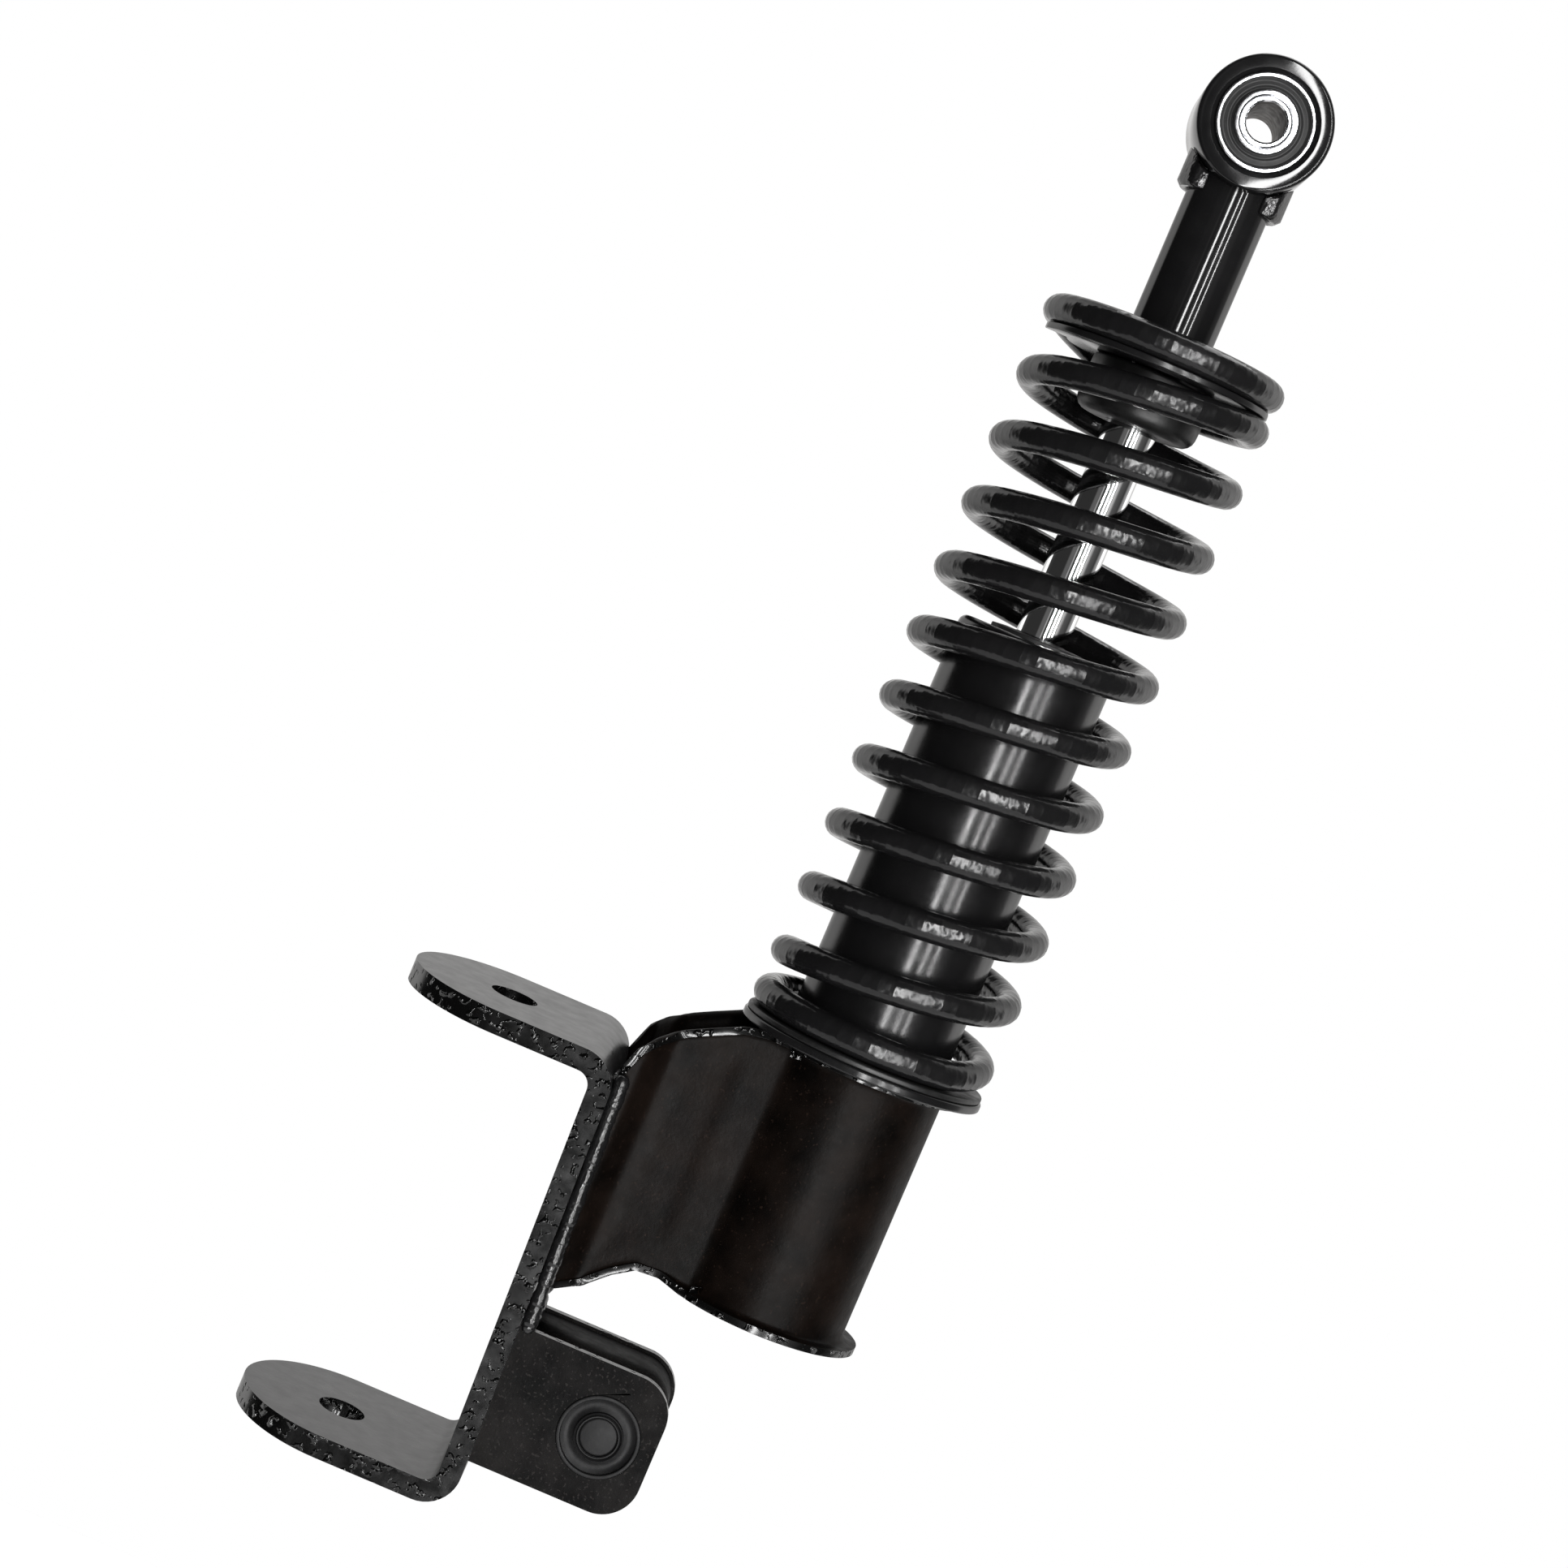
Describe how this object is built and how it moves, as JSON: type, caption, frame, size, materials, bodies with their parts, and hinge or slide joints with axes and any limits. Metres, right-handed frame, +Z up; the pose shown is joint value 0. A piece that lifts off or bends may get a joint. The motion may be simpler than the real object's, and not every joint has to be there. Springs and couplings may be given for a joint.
{
  "type": "suspension strut",
  "caption": "Coil-over suspension strut with a bushed top eye, a chrome rod, an open coil spring, and a pressed saddle carrying a C-shaped king-pin bracket and a bushed pivot box.",
  "frame": {"origin": "centre of the bore of the upper eye's sleeve", "axes": "+Z up along the strut from the pivot box towards the upper eye, +Y along the eye's bore, and the king-pin bracket's ears point to -X"},
  "size_m": [0.1527, 0.0678, 0.431],
  "materials": {
    "gloss_black": "gloss black paint",
    "tube_black": "gloss black paint",
    "spring_black": "gloss black powder coat",
    "satin_black": "satin black paint with a slight orange peel",
    "bracket_black": "semi-gloss black paint",
    "weld_black": "painted weld bead",
    "rod_chrome": "polished hard chrome",
    "zinc_steel": "bright zinc-plated steel",
    "inner_steel": "machined steel, hidden",
    "bush_bronze": "bronze bearing bush, hidden",
    "bush_rubber": "matt black rubber",
    "stop_rubber": "smooth black rubber",
    "black_plastic": "matt black plastic"
  },
  "bodies": {
    "rod_assembly": {"eye_ring": "gloss_black", "eye_bush_shell": "zinc_steel", "eye_rubber": "bush_rubber", "upper_tube": "gloss_black", "eye_left_lug": "gloss_black", "eye_right_lug": "gloss_black", "rod_anchor": "inner_steel", "rod_top_nut": "inner_steel", "upper_spring_seat": "gloss_black", "seat_weld": "weld_black", "bump_stop_washer": "zinc_steel", "bump_stop": "stop_rubber", "piston_rod": "rod_chrome", "rebound_bumper": "bush_rubber", "rebound_stop_ring": "inner_steel", "rebound_shims": "inner_steel", "piston": "inner_steel", "piston_band": "black_plastic", "compression_shims": "inner_steel", "piston_nut": "inner_steel", "coil_spring": "spring_black"},
    "upper_sleeve": {"eye_sleeve": "zinc_steel"},
    "lower_seat": {"lower_spring_seat": "gloss_black", "lower_seat_isolator": "stop_rubber"},
    "damper_body": {"damper_tube": "tube_black", "dust_wiper": "bush_rubber", "oil_seal": "bush_rubber", "rod_guide": "inner_steel", "guide_bush": "bush_bronze", "pressure_tube": "inner_steel", "base_valve": "inner_steel", "base_valve_disc": "inner_steel", "base_cap": "tube_black", "saddle_bracket": "satin_black", "king_pin_bracket": "bracket_black", "box_front_cheek": "satin_black", "box_rear_cheek": "satin_black", "box_strap": "satin_black", "pivot_shell": "satin_black", "pivot_rubber": "bush_rubber", "saddle_front_bead": "weld_black", "saddle_rear_bead": "weld_black", "box_top_bead": "weld_black"},
    "lower_sleeve": {"pivot_sleeve": "zinc_steel", "pivot_front_plug": "black_plastic", "pivot_rear_plug": "black_plastic"}
  },
  "joints": [
    {"name": "eye_bush_twist", "type": "hinge", "parent": "rod_assembly", "child": "upper_sleeve", "pos_m": [0, 0, 0], "axis": [0, 1, 0], "range_deg": [-12, 12], "stiffness_Nm_per_rad": 60},
    {"name": "strut_stroke", "type": "slide", "parent": "rod_assembly", "child": "lower_seat", "axis": [0, 0, 1], "range_m": [0, 0.0595], "stiffness_N_per_m": 19800, "springref_m": -0.012, "deforming": ["coil_spring"]},
    {"name": "body_swivel", "type": "hinge", "parent": "lower_seat", "child": "damper_body", "pos_m": [0, 0, -0.265], "axis": [0, 0, 1], "continuous": true},
    {"name": "pivot_bush_twist", "type": "hinge", "parent": "damper_body", "child": "lower_sleeve", "pos_m": [-0.0252, 0, -0.3811], "axis": [0, 1, 0], "range_deg": [-12, 12], "stiffness_Nm_per_rad": 60}
  ]
}
